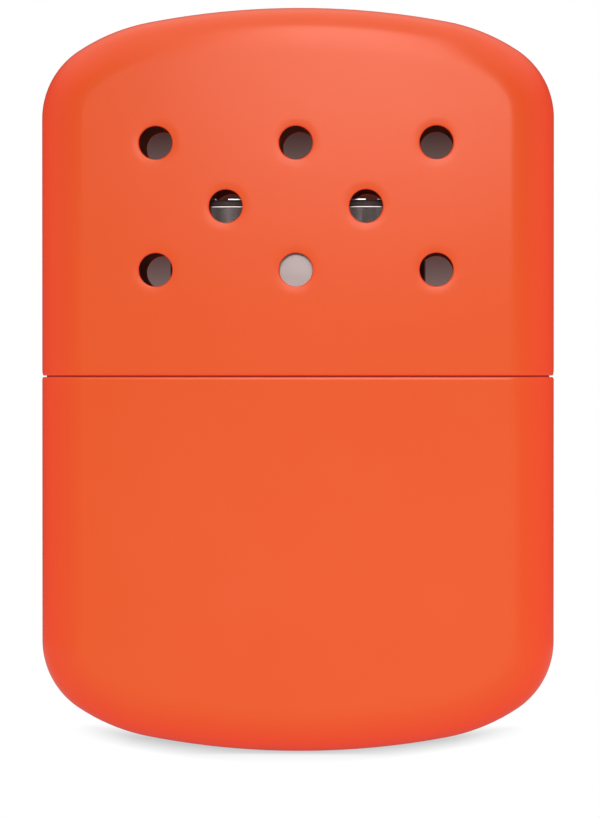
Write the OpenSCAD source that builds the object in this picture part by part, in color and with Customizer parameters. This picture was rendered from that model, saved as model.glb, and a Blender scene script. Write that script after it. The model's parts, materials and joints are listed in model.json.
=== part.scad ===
// A pocket hand warmer that burns fuel vapour on a catalyst, without a flame.
// A drawn tank holds the wadding. A lid with vents slides over the neck of the tank,
// and the burner under it pulls off the oval filler mouth.
// Millimetres. X is the width, Y the thickness with the front face towards -Y, Z is up.
// The origin is the middle of the underside.

/* [Case] */
// Width of the case
case_w = 68; // [57:0.5:84]
// Thickness of the case between its two flat faces
case_t = 14.7; // [13.5:0.1:18]
// Height of the case with the lid on
case_h = 98.7; // [92:0.1:125]
// Height of the tank, up to the seam
tank_h = 49.7; // [38:0.1:60]
// Open gap between tank and lid at the seam
seam_gap = 0.2; // [0.1:0.05:0.5]
// Thickness of the drawn sheet of tank and lid
sheet_t = 0.4; // [0.3:0.05:0.7]
// Rounding between the flat faces and the sides
edge_r = 6; // [4.5:0.1:6.4]
// Rounding of the outer edge of both rims at the seam
rim_r = 0.35; // [0.1:0.05:0.45]

/* [End curves] */
// Radius of the wide crown in the middle of the top and the underside
crown_r = 105.7; // [80:0.1:120]
// Half angle of the crown
crown_deg = 10.8; // [8:0.1:12.5]
// Angle from the middle at which the shoulder curve ends
shoulder_deg = 33.6; // [28:0.1:42]
// Radius of the corner that leads into the straight side
corner_r = 10.8; // [8:0.1:14]

/* [Vents] */
// Diameter of a vent hole
vent_d = 4.4; // [2:0.1:7]
// Distance between the vents of one row
vent_pitch_x = 18.45; // [10:0.05:22]
// Distance between the rows of vents
vent_pitch_z = 8.35; // [7.2:0.05:9.5]
// Height of the middle row of vents above the seam
vent_h = 22.25; // [18:0.05:26]
// Width of the broken edge round each vent
vent_edge = 0.2; // [0.1:0.05:0.25]

/* [Neck] */
// Height of the neck above the seam
neck_h = 9.2; // [6:0.1:12]
// How far the neck reaches down into the tank
neck_in = 6; // [3:0.1:10]
// Sheet thickness of the neck and its deck
neck_sheet = 0.4; // [0.3:0.05:0.7]
// Rounding of the top edge of the neck
neck_edge_r = 1.1; // [0.5:0.1:2]
// Sliding clearance between the neck and the lid
lid_fit = 0.2; // [0.1:0.05:0.4]

/* [Filler mouth] */
// Height of the mouth above the deck
mouth_h = 7; // [5:0.1:7.4]
// How far the mouth reaches below the deck
mouth_in = 2; // [1.2:0.1:3]
// Sheet thickness of the mouth
mouth_sheet = 0.4; // [0.3:0.05:0.7]
// Width of the flange under the deck
mouth_flange = 0.8; // [0.4:0.05:0.9]
// Width of the bridge across the mouth
bridge_w = 3; // [2:0.1:5]
// Sheet thickness of the bridge
bridge_t = 0.4; // [0.3:0.05:0.8]
// Depth of the top of the bridge below the rim of the mouth
bridge_drop = 3; // [2:0.1:3.6]
// Length of the two legs of the bridge
bridge_leg = 2.5; // [1.5:0.1:3]

/* [Burner] */
// Length of the burner
burner_l = 34; // [26:0.1:44]
// Air gap between the burner and the inside of the lid
burner_air = 1.15; // [0.8:0.05:1.6]
// Clearance between the burner and the mouth
burner_fit = 0.2; // [0.1:0.05:0.3]
// Gap between the burner and the deck
burner_seat = 0.3; // [0.1:0.05:0.6]
// Sheet thickness of the burner
burner_sheet = 0.4; // [0.3:0.05:0.6]
// Height of the skirt that fits over the mouth
skirt_h = 8.3; // [8:0.1:10]
// Rounding of the top edge of the skirt
skirt_edge_r = 0.6; // [0.2:0.05:0.8]
// Step inwards from the skirt to the bezel
bezel_step = 1; // [0.8:0.05:1.4]
// Height of the bezel above the skirt
bezel_h = 4.9; // [4.5:0.1:7]
// Width of the rim turned in at the top of the bezel
bezel_rim = 1.2; // [0.9:0.05:1.4]
// Rounding of the top edge of the bezel
bezel_edge_r = 0.55; // [0.2:0.05:0.7]

/* [Catalyst] */
// Thickness of the support plate
plate_t = 0.4; // [0.3:0.05:0.6]
// Height of the support plate above the top of the skirt
plate_h = 1.5; // [0.5:0.1:2]
// Diameter of the holes in the support plate
plate_hole_d = 1.6; // [1:0.1:1.9]
// Distance between the holes in the support plate
plate_pitch = 2.8; // [2.4:0.1:3.4]
// Sheet thickness of the guard
guard_sheet = 0.3; // [0.2:0.05:0.4]
// Height of the guard above the bezel
guard_rise = 0.95; // [0.9:0.05:2]
// How far the top plate of the guard overhangs its wall
guard_overhang = 0.6; // [0.3:0.05:0.8]
// Width of the slots across the guard
slot_w = 1.4; // [0.8:0.1:2]
// Distance between the slots
slot_pitch = 6.6; // [4:0.1:7]
// Number of slots
slot_count = 4; // [1:1:5]
// Thickness of the screen
screen_t = 0.25; // [0.15:0.05:0.4]
// Distance between the wires of the screen
mesh_pitch = 1; // [0.8:0.1:1.6]
// Width of a wire of the screen
wire_w = 0.3; // [0.2:0.05:0.4]

/* [Wadding] */
// Clearance round the wadding
wad_gap = 0.3; // [0.1:0.05:0.6]
// Space between the bridge and the wadding under it
wad_drop = 0.3; // [0.1:0.05:0.6]

/* [Hidden] */

$fn = 96;
cut = 1; // how far a cutter runs past the surface that it opens
press_gap = 0.03; // between two pieces of one body that are pressed together

paint = [0.95, 0.36, 0.2];
chrome = [0.78, 0.79, 0.82];
steel = [0.62, 0.62, 0.64];
cotton = [0.95, 0.93, 0.88];
fibre = [0.86, 0.85, 0.8];

// The end curve is three arcs a side, each tangent to the next: crown, shoulder and corner.
// Points of the curve are [x, height above the tip].
function down(deg) = [sin(deg), -cos(deg)];
shoulder_r = (case_w / 2 - crown_r * sin(crown_deg) - corner_r * (1 - sin(shoulder_deg)))
    / (sin(shoulder_deg) - sin(crown_deg));
crown_c = [0, crown_r];
shoulder_c = crown_c + (crown_r - shoulder_r) * down(crown_deg);
corner_c = shoulder_c + (shoulder_r - corner_r) * down(shoulder_deg);
side_start = corner_c.y;

// The rounded edge is a band round the end, and a flat slab fills the space inside the band.
slab_clear = 0.2; // between the rounding and the edge of the slab
slab_in = edge_r + slab_clear;
slab_lap = 1; // how far the slab runs up into the straight part
band_w = (edge_r + corner_r) / 2;
slab_half = [
    crown_c + (crown_r - slab_in) * down(crown_deg),
    shoulder_c + (shoulder_r - slab_in) * down(shoulder_deg),
    [case_w / 2 - slab_in, side_start],
    [case_w / 2 - slab_in, side_start + slab_lap],
];
slab_points = concat(
    [[0, slab_in]],
    slab_half,
    [for (i = [len(slab_half) - 1:-1:0]) [-slab_half[i].x, slab_half[i].y]]
);

seam_z = tank_h + seam_gap;
lid_h = case_h - seam_z;

neck_gap = sheet_t + lid_fit;
neck_w = case_w - 2 * neck_gap;
neck_t = case_t - 2 * neck_gap;
neck_r = edge_r - neck_gap;
neck_z0 = tank_h - neck_in;
deck_z = tank_h + neck_h;
deck_under = deck_z - neck_sheet;

burner_w = case_t - 2 * sheet_t - 2 * burner_air;
skirt_z0 = deck_z + burner_seat;
skirt_z1 = skirt_z0 + skirt_h;
skirt_in = 2 * burner_sheet;

mouth_l = burner_l - skirt_in - 2 * burner_fit;
mouth_w = burner_w - skirt_in - 2 * burner_fit;
mouth_z0 = deck_z - mouth_in;
mouth_z1 = deck_z + mouth_h;
bridge_z = mouth_z1 - bridge_drop;

bezel_l = burner_l - 2 * bezel_step;
bezel_w = burner_w - 2 * bezel_step;
bezel_z0 = skirt_z1 - 2 * burner_sheet;
bezel_z1 = skirt_z1 + bezel_h;
bezel_in_l = bezel_l - 2 * burner_sheet;
bezel_in_w = bezel_w - 2 * burner_sheet;
plate_z = skirt_z1 + plate_h;

// The guard stands on a flange that the turned-in rim of the bezel holds down.
rim_under = bezel_z1 - burner_sheet;
guard_z0 = rim_under - guard_sheet - press_gap;
guard_z1 = bezel_z1 + guard_rise;
guard_l = bezel_l - 2 * bezel_rim - 2 * press_gap;
guard_w = bezel_w - 2 * bezel_rim - 2 * press_gap;
guard_wall_l = guard_l - 2 * guard_overhang;
guard_wall_w = guard_w - 2 * guard_overhang;
screen_l = guard_wall_l - 2 * guard_sheet - 2 * press_gap;
screen_w = guard_wall_w - 2 * guard_sheet - 2 * press_gap;
screen_z0 = guard_z1 - guard_sheet - screen_t;

wad_inset = sheet_t + wad_gap;
wad_top = neck_z0 - wad_gap;
lower_wad_top = max(wad_top / 3, side_start + 2 * slab_lap);
middle_wad_top = (lower_wad_top + wad_top) / 2;

// ---- outlines -----------------------------------------------------------------

// A rectangle with four rounded corners
module rounded_box(w, t, r) {
    square([w - 2 * r, t], center = true);
    square([w, t - 2 * r], center = true);
    for (x = [-1, 1], y = [-1, 1])
        translate([x * (w / 2 - r), y * (t / 2 - r)])
            circle(r);
}

// A slot shape with two round ends
module stadium(l, w) {
    square([l - w, w], center = true);
    for (x = [-1, 1])
        translate([x * (l - w) / 2, 0])
            circle(d = w);
}

// What a rounded edge leaves out of a square corner. The corner is at the origin, the metal at -x, -y.
module edge_waste(r) {
    difference() {
        translate([-r, -r])
            square(r + cut);
        translate([-r, -r])
            circle(r);
    }
}

// ---- sweeps and walls ---------------------------------------------------------

// Carries a profile round the outside of a rounded box: x is outwards, y is up.
module around_box(w, t, r) {
    for (side = [0, 1], face = [0, 1])
        mirror([side, 0, 0])
            mirror([0, face, 0]) {
                translate([w / 2 - r, t / 2 - r, 0])
                    rotate_extrude(angle = 90)
                        translate([r, 0])
                            children();
                translate([0, t / 2, 0])
                    rotate([90, 0, 90])
                        linear_extrude(height = w / 2 - r)
                            children();
                translate([w / 2, t / 2 - r, 0])
                    rotate([90, 0, 0])
                        linear_extrude(height = t / 2 - r)
                            children();
            }
}

// Carries a profile round the outside of a stadium: x is outwards, y is up.
module around_stadium(l, w) {
    for (end = [0, 1])
        mirror([end, 0, 0]) {
            translate([(l - w) / 2, 0, 0])
                rotate([0, 0, -90])
                    rotate_extrude(angle = 180)
                        translate([w / 2, 0])
                            children();
            for (face = [0, 1])
                mirror([0, face, 0])
                    translate([0, w / 2, 0])
                        rotate([90, 0, 90])
                            linear_extrude(height = (l - w) / 2)
                                children();
        }
}

// A flat plate of stadium outline
module stadium_plate(l, w, z0, z1) {
    translate([0, 0, z0])
        linear_extrude(height = z1 - z0)
            stadium(l, w);
}

// Cross-section of the case, drawn in by an inset
module case_section(inset) {
    rounded_box(case_w - 2 * inset, case_t - 2 * inset, edge_r - inset);
}

// Moves in two steps, a rounded one and the small rest, so that arcs placed by a sum of
// sines stay tangent to their neighbours to a millionth of a millimetre.
module fine_move(v) {
    rounded = [for (x = v) round(x * 1000) / 1000];
    translate(rounded)
        translate(v - rounded)
            children();
}

// One arc of the rounded edge band of the end, in the plane of the end curve
module edge_band(centre, r, from_deg, to_deg, inset) {
    depth = band_w - inset;
    thick = case_t - 2 * inset;
    fine_move([centre.x, centre.y, 0])
        rotate_extrude(start = from_deg - 90, angle = to_deg - from_deg)
            fine_move([r - inset - depth, 0])
                intersection() {
                    rounded_box(2 * depth, thick, edge_r - inset);
                    translate([0, -thick / 2])
                        square([depth, thick]);
                }
}

// A solid with the shape of the case from its curved tip up to a height, drawn in by an inset
module case_form(h, inset) {
    rotate([90, 0, 0]) {
        edge_band(crown_c, crown_r, -crown_deg, crown_deg, inset);
        for (side = [0, 1])
            mirror([side, 0, 0]) {
                edge_band(shoulder_c, shoulder_r, crown_deg, shoulder_deg, inset);
                edge_band(corner_c, corner_r, shoulder_deg, 90, inset);
            }
        linear_extrude(height = case_t - 2 * inset, center = true)
            polygon(slab_points);
    }
    fine_move([0, 0, side_start])
        linear_extrude(height = h - side_start)
            case_section(inset);
}

// A drawn cup: the case form less the same form inside it, with the rim's outer edge rounded
module drawn_cup(h) {
    difference() {
        case_form(h, 0);
        case_form(h + cut, sheet_t);
        translate([0, 0, h])
            around_box(case_w, case_t, edge_r)
                edge_waste(rim_r);
    }
}

// One vent through the front and the back of the lid, with broken outer edges
module vent() {
    rotate([90, 0, 0]) {
        cylinder(h = case_t + 2 * cut, d = vent_d, center = true);
        for (face = [0, 1])
            mirror([0, 0, face])
                translate([0, 0, case_t / 2 - vent_edge])
                    cylinder(h = 2 * vent_edge, d1 = vent_d, d2 = vent_d + 4 * vent_edge);
    }
}

// ---- tank ---------------------------------------------------------------------

module tank_shell() {
    color(paint)
        drawn_cup(tank_h);
}

// Sleeve that guides the lid, closed by the deck, with the hole for the mouth
module neck_cap() {
    foot_inset = sheet_t + press_gap;
    color(chrome)
        difference() {
            union() {
                translate([0, 0, neck_z0])
                    linear_extrude(height = deck_z - neck_z0)
                        rounded_box(neck_w, neck_t, neck_r);
                translate([0, 0, neck_z0])
                    linear_extrude(height = neck_in - rim_r)
                        case_section(foot_inset);
            }
            translate([0, 0, neck_z0 - cut])
                linear_extrude(height = deck_under - neck_z0 + cut)
                    rounded_box(neck_w - 2 * neck_sheet, neck_t - 2 * neck_sheet, neck_r - neck_sheet);
            translate([0, 0, deck_z])
                around_box(neck_w, neck_t, neck_r)
                    edge_waste(neck_edge_r);
            stadium_plate(mouth_l + 2 * press_gap, mouth_w + 2 * press_gap, deck_under - cut, deck_z + cut);
        }
}

module mouth_tube() {
    color(chrome)
        difference() {
            union() {
                stadium_plate(mouth_l, mouth_w, mouth_z0, mouth_z1);
                stadium_plate(
                    mouth_l + 2 * mouth_flange, mouth_w + 2 * mouth_flange,
                    deck_under - mouth_sheet - press_gap, deck_under - press_gap
                );
            }
            stadium_plate(
                mouth_l - 2 * mouth_sheet, mouth_w - 2 * mouth_sheet,
                mouth_z0 - cut, mouth_z1 + cut
            );
            translate([0, 0, mouth_z1])
                around_stadium(mouth_l, mouth_w)
                    edge_waste(mouth_sheet / 2);
        }
}

// Strap across the mouth that keeps the wadding down
module mouth_bridge() {
    span = mouth_w - 2 * mouth_sheet - 2 * press_gap;
    leg_z = bridge_z - bridge_leg;
    color(chrome)
        difference() {
            translate([-bridge_w / 2, -span / 2, leg_z])
                cube([bridge_w, span, bridge_leg]);
            translate([-bridge_w / 2 - cut, -span / 2 + bridge_t, leg_z - cut])
                cube([bridge_w + 2 * cut, span - 2 * bridge_t, bridge_leg - bridge_t + cut]);
        }
}

// ---- wadding ------------------------------------------------------------------

// One layer of the wadding in the straight part of the tank
module wad(z0, z1) {
    color(cotton)
        translate([0, 0, z0])
            linear_extrude(height = z1 - z0)
                case_section(wad_inset);
}

module lower_wadding() {
    color(cotton)
        case_form(lower_wad_top, wad_inset);
}

module middle_wadding() {
    wad(lower_wad_top + wad_gap, middle_wad_top);
}

module upper_wadding() {
    wad(middle_wad_top + wad_gap, wad_top);
}

module neck_wadding() {
    inset = neck_sheet + wad_gap;
    color(cotton)
        translate([0, 0, neck_z0])
            linear_extrude(height = mouth_z0 - wad_gap - neck_z0)
                rounded_box(neck_w - 2 * inset, neck_t - 2 * inset, neck_r - inset);
}

module mouth_wadding() {
    inset = mouth_sheet + bridge_t + wad_gap;
    color(cotton)
        stadium_plate(
            mouth_l - 2 * inset, mouth_w - 2 * inset,
            mouth_z0, bridge_z - bridge_t - wad_drop
        );
}

// ---- burner -------------------------------------------------------------------

// Outer wall that fits over the mouth, turned in at the top
module burner_skirt() {
    color(chrome)
        difference() {
            stadium_plate(burner_l, burner_w, skirt_z0, skirt_z1);
            stadium_plate(
                burner_l - skirt_in, burner_w - skirt_in,
                skirt_z0 - cut, skirt_z1 - burner_sheet
            );
            stadium_plate(
                bezel_l + 2 * press_gap, bezel_w + 2 * press_gap,
                skirt_z1 - burner_sheet - cut, skirt_z1 + cut
            );
            translate([0, 0, skirt_z1])
                around_stadium(burner_l, burner_w)
                    edge_waste(skirt_edge_r);
        }
}

// Upper frame, held under the skirt by its foot, with its rim turned in over the guard
module burner_bezel() {
    foot_in = skirt_in + 2 * press_gap;
    color(chrome)
        difference() {
            union() {
                stadium_plate(bezel_l, bezel_w, bezel_z0, bezel_z1);
                stadium_plate(
                    burner_l - foot_in, burner_w - foot_in,
                    bezel_z0, skirt_z1 - burner_sheet - press_gap
                );
            }
            stadium_plate(bezel_in_l, bezel_in_w, bezel_z0 - cut, rim_under);
            stadium_plate(
                bezel_l - 2 * bezel_rim, bezel_w - 2 * bezel_rim,
                rim_under - cut, bezel_z1 + cut
            );
            translate([0, 0, bezel_z1])
                around_stadium(bezel_l, bezel_w)
                    edge_waste(bezel_edge_r);
        }
}

// Perforated floor under the catalyst
module support_plate() {
    plate_l = bezel_in_l - 2 * press_gap;
    plate_w = bezel_in_w - 2 * press_gap;
    columns = floor((plate_l - plate_w) / plate_pitch);
    color(steel)
        difference() {
            stadium_plate(plate_l, plate_w, plate_z, plate_z + plate_t);
            for (column = [0:columns], row = [-1, 1])
                translate([(column - columns / 2) * plate_pitch, row * plate_pitch / 2, plate_z - cut])
                    cylinder(h = plate_t + 2 * cut, d = plate_hole_d);
        }
}

// Fibre mat that carries the catalyst, crowned up into the guard
module catalyst_mat() {
    color(fibre) {
        stadium_plate(
            bezel_in_l - 2 * wad_gap, bezel_in_w - 2 * wad_gap,
            plate_z + plate_t, guard_z0 - press_gap
        );
        stadium_plate(
            screen_l - 2 * press_gap, screen_w - 2 * press_gap,
            plate_z + plate_t, screen_z0 - press_gap
        );
    }
}

// Wire screen under the slots of the guard
module wire_screen() {
    gap = mesh_pitch - wire_w;
    columns = floor((screen_l - screen_w + wire_w) / mesh_pitch);
    rows = floor((screen_w - wire_w) / mesh_pitch);
    color(steel)
        translate([0, 0, screen_z0])
            linear_extrude(height = screen_t)
                difference() {
                    stadium(screen_l, screen_w);
                    for (column = [1:columns], row = [1:rows])
                        translate([
                            (column - (columns + 1) / 2) * mesh_pitch,
                            (row - (rows + 1) / 2) * mesh_pitch,
                        ])
                            square(gap, center = true);
                }
}

// Slotted cover over the screen: flange, wall and overhanging top plate
module burner_guard() {
    color(chrome)
        difference() {
            union() {
                stadium_plate(
                    bezel_in_l - 2 * press_gap, bezel_in_w - 2 * press_gap,
                    guard_z0, guard_z0 + guard_sheet
                );
                stadium_plate(guard_wall_l, guard_wall_w, guard_z0, guard_z1);
                stadium_plate(guard_l, guard_w, guard_z1 - guard_sheet, guard_z1);
            }
            stadium_plate(
                guard_wall_l - 2 * guard_sheet, guard_wall_w - 2 * guard_sheet,
                guard_z0 - cut, guard_z1 - guard_sheet
            );
            for (slot = [1:slot_count])
                translate([
                    (slot - (slot_count + 1) / 2) * slot_pitch - slot_w / 2,
                    -guard_w / 2 - cut,
                    guard_z1 - guard_sheet,
                ])
                    cube([slot_w, guard_w + 2 * cut, guard_sheet + cut]);
        }
}

// ---- lid ----------------------------------------------------------------------

// The lid, with a middle row of two vents between two rows of three, on both faces
module lid_shell() {
    color(paint)
        difference() {
            translate([0, 0, case_h])
                mirror([0, 0, 1])
                    drawn_cup(lid_h);
            for (row = [-1:1], x = row == 0 ? [-0.5, 0.5] : [-1, 0, 1])
                translate([x * vent_pitch_x, 0, seam_z + vent_h + row * vent_pitch_z])
                    vent();
        }
}

tank_shell();
neck_cap();
mouth_tube();
mouth_bridge();
lower_wadding();
middle_wadding();
upper_wadding();
neck_wadding();
mouth_wadding();
burner_skirt();
burner_bezel();
support_plate();
catalyst_mat();
wire_screen();
burner_guard();
lid_shell();
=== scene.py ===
"""The looks of a pocket hand warmer: a powder-coated tank, a vented lid and a plated burner."""

import json
import math
from itertools import pairwise

import bpy
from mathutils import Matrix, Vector, noise
from mathutils.geometry import tessellate_polygon

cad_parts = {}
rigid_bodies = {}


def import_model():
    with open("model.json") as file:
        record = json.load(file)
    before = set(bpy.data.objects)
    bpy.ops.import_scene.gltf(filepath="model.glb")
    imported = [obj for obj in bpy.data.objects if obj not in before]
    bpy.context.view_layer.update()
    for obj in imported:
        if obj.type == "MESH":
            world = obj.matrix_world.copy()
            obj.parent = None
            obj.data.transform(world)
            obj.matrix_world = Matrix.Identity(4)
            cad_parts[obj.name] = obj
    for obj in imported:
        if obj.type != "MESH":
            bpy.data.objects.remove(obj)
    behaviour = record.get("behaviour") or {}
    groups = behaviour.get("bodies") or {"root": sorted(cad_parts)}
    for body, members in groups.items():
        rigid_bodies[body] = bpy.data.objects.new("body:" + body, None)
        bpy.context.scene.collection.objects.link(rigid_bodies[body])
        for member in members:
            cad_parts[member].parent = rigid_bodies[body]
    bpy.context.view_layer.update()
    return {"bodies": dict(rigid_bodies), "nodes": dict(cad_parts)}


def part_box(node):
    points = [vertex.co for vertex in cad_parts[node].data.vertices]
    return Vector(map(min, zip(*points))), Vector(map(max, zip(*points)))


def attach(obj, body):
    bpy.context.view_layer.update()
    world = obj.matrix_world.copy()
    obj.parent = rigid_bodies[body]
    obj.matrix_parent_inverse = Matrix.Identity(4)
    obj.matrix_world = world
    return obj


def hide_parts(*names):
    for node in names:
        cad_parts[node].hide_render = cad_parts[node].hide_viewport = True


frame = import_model()

MM = 0.001

# ---- sizes ------------------------------------------------------------------------------------
# The boxes of the frame's nodes give the places. What a box can't give is named here.

TANK_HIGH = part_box("tank_shell")[1]
LID_LOW, LID_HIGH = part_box("lid_shell")
CASE_W = LID_HIGH.x - LID_LOW.x
CASE_T = LID_HIGH.y - LID_LOW.y
CASE_H = LID_HIGH.z
SHEET = 0.4 * MM  # of the tank, the lid and the plated pieces
EDGE_R = 6 * MM  # rounding between the flat faces and the sides
LID_RIM = 0.75 * MM  # height over which the lid's rim turns in
TANK_RIM = 0.4 * MM  # height over which the tank's rim turns in
RIM_IN = 0.2 * MM  # how far both rims turn in

CROWN_R = 105.7 * MM  # the end curve: crown, shoulder and corner
CROWN_ANGLE = math.radians(10.8)
SHOULDER_ANGLE = math.radians(33.6)
CORNER_R = 10.8 * MM
SHOULDER_R = (
    CASE_W / 2 - CROWN_R * math.sin(CROWN_ANGLE) - CORNER_R * (1 - math.sin(SHOULDER_ANGLE))
) / (math.sin(SHOULDER_ANGLE) - math.sin(CROWN_ANGLE))

VENT_R = 2.2 * MM
VENT_PITCH_X = 18.45 * MM
VENT_PITCH_Z = 8.35 * MM
VENT_MIDDLE_Z = LID_LOW.z + 22.25 * MM
VENT_DISH = 1.1 * MM  # width of the shallow dip round a vent
VENT_DISH_DEPTH = 0.055 * MM
VENT_LIP = 0.22 * MM  # rounding of the vent's edge
VENT_BURR = 0.08 * MM  # rounding on the inside

PRESS_GAP = 0.03 * MM  # between pressed pieces of one body
NECK_LOW, NECK_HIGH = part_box("neck_cap")
NECK_GAP = 0.6 * MM  # from the outside of the case to the neck
NECK_EDGE_R = 1.1 * MM
NECK_RIM_CLEAR = 0.35 * MM  # the foot of the neck stays this far under the tank's rim
NECK_DECK_LAP = 0.1 * MM  # how far the swept deck edge runs on past its rounding
# An orange band painted at the neck's foot, a painted reflection of orange light bounced into the
# seam: its top and how it fades.
SEAM_BOUNCE_TOP = 50.2 * MM
SEAM_BOUNCE_FADE = 0.5 * MM
MOUTH_LOW, MOUTH_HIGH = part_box("mouth_tube")
MOUTH_FLANGE = 0.8 * MM
MOUTH_LIP_R = SHEET / 2 - 0.01 * MM  # just under half the sheet, so the lip is all but round
BRIDGE_LOW, BRIDGE_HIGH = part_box("mouth_bridge")
SKIRT_LOW, SKIRT_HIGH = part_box("burner_skirt")
SKIRT_EDGE_R = 0.6 * MM
BEZEL_LOW, BEZEL_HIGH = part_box("burner_bezel")
BEZEL_STEP = 1 * MM  # from the skirt in to the bezel
BEZEL_RIM = 1.2 * MM
BEZEL_EDGE_R = 0.28 * MM
PLATE_LOW, PLATE_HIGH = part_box("support_plate")
PLATE_HOLE_R = 0.8 * MM
PLATE_PITCH = 2.8 * MM
PLATE_COLUMNS = 9
SCREEN_LOW, SCREEN_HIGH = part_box("wire_screen")
MESH_PITCH = 1 * MM
WIRE_R = 0.085 * MM
GUARD_LOW, GUARD_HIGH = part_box("burner_guard")
GUARD_SHEET = 0.3 * MM
GUARD_OVERHANG = 0.6 * MM
SLOT_W = 1.4 * MM
SLOT_PITCH = 6.6 * MM
SLOT_COUNT = 4
GUARD_EDGE_R = 0.09 * MM
GUARD_EDGE_LEAN = 0.021 * MM  # how far the stamped edge leans in towards the top

MOUTH_L = MOUTH_HIGH.x - MOUTH_LOW.x - 2 * MOUTH_FLANGE
MOUTH_W = MOUTH_HIGH.y - MOUTH_LOW.y - 2 * MOUTH_FLANGE
BEZEL_L = SKIRT_HIGH.x - SKIRT_LOW.x - 2 * BEZEL_STEP
BEZEL_W = SKIRT_HIGH.y - SKIRT_LOW.y - 2 * BEZEL_STEP
GUARD_L = BEZEL_L - 2 * BEZEL_RIM - 2 * PRESS_GAP
GUARD_W = BEZEL_W - 2 * BEZEL_RIM - 2 * PRESS_GAP
FINE_R = 0.06 * MM  # a cut edge of sheet
BEND_R = 0.15 * MM  # the inside of a bend
TOUCHING = 0.0001 * MM  # points nearer than this are one

# Painted shade: how deep the paint's colour is made along the sides, and under faces that look
# down, where less light falls.
SIDE_SHADE = 0.75
UNDER_SHADE_POWER = 1.5

# ---- node helpers -----------------------------------------------------------------------------


def add_node(tree, kind, **values):
    """A shader node. A value named after a socket goes into it, and any other sets a property."""
    node = tree.nodes.new(kind)
    for name, value in values.items():
        key = name.replace("_", " ")
        if key in node.inputs:
            node.inputs[key].default_value = value
        else:
            setattr(node, name, value)
    return node


def new_material(name, **inputs):
    """A material with one Principled shader. Returns it with its tree and its shader."""
    material = bpy.data.materials.new(name)
    material.use_nodes = True
    tree = material.node_tree
    shader = tree.nodes["Principled BSDF"]
    for key, value in inputs.items():
        shader.inputs[key.replace("_", " ")].default_value = value
    return material, tree, shader


def surface_place(tree, stretch=(1, 1, 1)):
    """Object coordinates in metres, stretched for grain that runs one way."""
    coordinates = add_node(tree, "ShaderNodeTexCoord")
    mapping = add_node(tree, "ShaderNodeMapping")
    mapping.inputs["Scale"].default_value = stretch
    tree.links.new(coordinates.outputs["Object"], mapping.inputs["Vector"])
    return mapping.outputs["Vector"]


def split(tree, vector):
    """The sockets of a vector's X, Y and Z."""
    node = add_node(tree, "ShaderNodeSeparateXYZ")
    tree.links.new(vector, node.inputs[0])
    return node.outputs


def noise_value(tree, where, scale, detail=2.0, roughness=0.5):
    values = {"Scale": scale, "Detail": detail, "Roughness": roughness}
    texture = add_node(tree, "ShaderNodeTexNoise", **values)
    tree.links.new(where, texture.inputs["Vector"])
    return texture.outputs["Fac"]


def spread(tree, value, low, high, from_low=0.3, from_high=0.7):
    """A value between from_low and from_high, spread over low to high."""
    node = add_node(tree, "ShaderNodeMapRange")
    limits = {"From Min": from_low, "From Max": from_high, "To Min": low, "To Max": high}
    for name, limit in limits.items():
        node.inputs[name].default_value = limit
    tree.links.new(value, node.inputs["Value"])
    return node.outputs["Result"]


def math_value(tree, operation, first, second):
    node = add_node(tree, "ShaderNodeMath", operation=operation)
    for socket, value in zip(node.inputs, (first, second)):
        if isinstance(value, (int, float)):
            socket.default_value = value
        else:
            tree.links.new(value, socket)
    return node.outputs[0]


def mixed_colour(tree, share, first, second):
    """A mix of two colours, each a colour or a socket."""
    mix = add_node(tree, "ShaderNodeMix", data_type="RGBA")
    tree.links.new(share, mix.inputs["Factor"])
    for socket, colour in ((mix.inputs[6], first), (mix.inputs[7], second)):
        if isinstance(colour, tuple):
            socket.default_value = (*colour, 1)
        else:
            tree.links.new(colour, socket)
    return mix.outputs[2]


def bumped(tree, height, distance, strength=1.0, normal=None):
    node = add_node(tree, "ShaderNodeBump", Strength=strength, Distance=distance)
    tree.links.new(height, node.inputs["Height"])
    if normal is not None:
        tree.links.new(normal, node.inputs["Normal"])
    return node.outputs["Normal"]


# ---- materials --------------------------------------------------------------------------------
# Two colours are the ends of a mottle. The scale of a noise is how many lumps it has in a metre.

PAINT_FLAT = (0.925, 0.104, 0.017), (0.93, 0.108, 0.02)
# The paint's colour where it lies fully in painted shade.
PAINT_IN_SHADE = (0.94, 0.036, 0.008)
# Painted reflection: the orange of light bounced into the seam, laid on the neck's foot.
SEAM_BOUNCE_ORANGE = (0.93, 0.05, 0.02)
SEAM_BOUNCE_ROUGHER = 0.35
PRIMER = (0.42, 0.11, 0.075), (0.52, 0.12, 0.07)
BRIGHT = (0.74, 0.73, 0.72), (0.7, 0.69, 0.69)
WARM_GREY = (0.6, 0.49, 0.475), (0.56, 0.455, 0.44)
HEAT_TINT = (0.56, 0.45, 0.44), (0.52, 0.41, 0.4)
# Painted shade: the near-black of the guard's flange and wall, under its overhanging top.
WALL_SHADE_BLACK = (0.12, 0.09, 0.085), (0.08, 0.065, 0.065)
WIRE_GREY = (0.5, 0.49, 0.48), (0.42, 0.4, 0.39)
MINERAL_WHITE = (0.3, 0.28, 0.26), (0.62, 0.6, 0.56)
COTTON_WHITE = (0.66, 0.62, 0.55), (0.86, 0.83, 0.76)
POLISHED = (0.1, 0.2)  # roughness
BRIGHT_RELIEF = 0.003 * MM
UPRIGHT = (1, 1, 0.08)  # the stretches of a grain
ALONG = (0.08, 1, 1)
EVERY_WAY = (1, 1, 1)


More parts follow.
